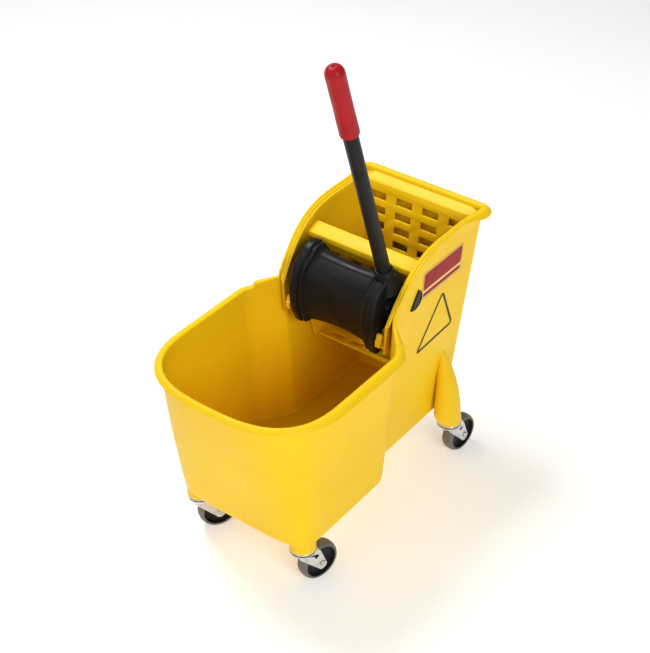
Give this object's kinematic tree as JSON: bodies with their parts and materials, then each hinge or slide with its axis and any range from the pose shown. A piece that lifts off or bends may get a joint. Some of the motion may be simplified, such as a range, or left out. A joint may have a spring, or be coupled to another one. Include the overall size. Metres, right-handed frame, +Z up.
{
  "type": "mop bucket with wringer",
  "caption": "Rectangular mop bucket on swivel casters, its tall rear housing holding a lever-driven press wringer with slotted plates.",
  "frame": {"origin": "on the floor, under the middle of the whole object's bounding box", "axes": "+Z up, -Y towards the open front tank, +Y towards the wringer housing, +X the right-hand side, where the lever is"},
  "size_m": [0.361, 0.6398, 0.9304],
  "materials": {
    "yellow_plastic": "satin moulded",
    "black_plastic": "fine grain",
    "black_tube": "satin powder coat",
    "red_grip": "soft matt",
    "spring_steel": "drawn wire",
    "bush_plastic": "smooth",
    "label_red": "satin film",
    "label_black": "satin film",
    "zinc_plate": "bright zinc",
    "axle_steel": "turned",
    "hub_plastic": "moulded",
    "grey_tyre": "matt"
  },
  "bodies": {
    "bucket": {"bucket_body": "yellow_plastic", "back_grid": "yellow_plastic", "strainer_floor": "yellow_plastic", "wringer_cheek_left": "yellow_plastic", "wringer_cheek_right": "yellow_plastic", "wringer_crossbar": "yellow_plastic", "pivot_pin_left": "black_plastic", "pivot_pin_right": "black_plastic", "return_spring": "spring_steel", "side_label": "label_red", "side_triangle": "label_black", "caster_stem_front_left": "zinc_plate", "caster_race_front_left": "zinc_plate", "caster_stem_front_right": "zinc_plate", "caster_race_front_right": "zinc_plate", "caster_stem_rear_left": "zinc_plate", "caster_race_rear_left": "zinc_plate", "caster_stem_rear_right": "zinc_plate", "caster_race_rear_right": "zinc_plate"},
    "rotor_and_lever": {"rotor": "black_plastic", "drive_gear_left": "black_plastic", "drive_gear_right": "black_plastic", "lever_tube": "black_tube", "lever_grip": "red_grip", "lever_collar": "black_plastic", "pivot_bush_left": "bush_plastic", "pivot_bush_right": "bush_plastic"},
    "press": {"press_plate": "yellow_plastic", "press_rack_left": "yellow_plastic", "press_rack_right": "yellow_plastic"},
    "swivel_front_left": {"caster_fork_front_left": "zinc_plate", "caster_axle_front_left": "axle_steel"},
    "wheel_front_left": {"caster_hub_front_left": "hub_plastic", "caster_tyre_front_left": "grey_tyre"},
    "swivel_front_right": {"caster_fork_front_right": "zinc_plate", "caster_axle_front_right": "axle_steel"},
    "wheel_front_right": {"caster_hub_front_right": "hub_plastic", "caster_tyre_front_right": "grey_tyre"},
    "swivel_rear_left": {"caster_fork_rear_left": "zinc_plate", "caster_axle_rear_left": "axle_steel"},
    "wheel_rear_left": {"caster_hub_rear_left": "hub_plastic", "caster_tyre_rear_left": "grey_tyre"},
    "swivel_rear_right": {"caster_fork_rear_right": "zinc_plate", "caster_axle_rear_right": "axle_steel"},
    "wheel_rear_right": {"caster_hub_rear_right": "hub_plastic", "caster_tyre_rear_right": "grey_tyre"}
  },
  "joints": [
    {"name": "lever_turn", "type": "hinge", "parent": "bucket", "child": "rotor_and_lever", "pos_m": [0, 0.099, 0.431], "axis": [1, 0, 0], "range_deg": [0, 70], "stiffness_Nm_per_rad": 1, "springref_deg": -91.67},
    {"name": "press_travel", "type": "slide", "parent": "bucket", "child": "press", "axis": [0, 1, 0], "range_m": [0, 0.0612]},
    {"name": "swivel_turn_front_left", "type": "hinge", "parent": "bucket", "child": "swivel_front_left", "pos_m": [-0.116, -0.2165, 0.08], "axis": [0, 0, 1], "continuous": true},
    {"name": "wheel_turn_front_left", "type": "hinge", "parent": "swivel_front_left", "child": "wheel_front_left", "pos_m": [-0.10098, -0.18825, 0.038], "axis": [-0.8829, 0.4695, 0], "continuous": true},
    {"name": "swivel_turn_front_right", "type": "hinge", "parent": "bucket", "child": "swivel_front_right", "pos_m": [0.116, -0.2165, 0.08], "axis": [0, 0, 1], "continuous": true},
    {"name": "wheel_turn_front_right", "type": "hinge", "parent": "swivel_front_right", "child": "wheel_front_right", "pos_m": [0.12374, -0.18545, 0.038], "axis": [-0.9703, 0.2419, 0], "continuous": true},
    {"name": "swivel_turn_rear_left", "type": "hinge", "parent": "bucket", "child": "swivel_rear_left", "pos_m": [-0.131, 0.221, 0.08], "axis": [0, 0, 1], "continuous": true},
    {"name": "wheel_turn_rear_left", "type": "hinge", "parent": "swivel_rear_left", "child": "wheel_rear_left", "pos_m": [-0.13545, 0.25269, 0.038], "axis": [-0.9903, -0.1392, 0], "continuous": true},
    {"name": "swivel_turn_rear_right", "type": "hinge", "parent": "bucket", "child": "swivel_rear_right", "pos_m": [0.131, 0.221, 0.08], "axis": [0, 0, 1], "continuous": true},
    {"name": "wheel_turn_rear_right", "type": "hinge", "parent": "swivel_rear_right", "child": "wheel_rear_right", "pos_m": [0.13379, 0.25288, 0.038], "axis": [-0.9962, 0.0872, 0], "continuous": true}
  ],
  "couplings": [
    {"joint": "press_travel", "follows": "lever_turn", "m_per_rad": 0.05}
  ]
}
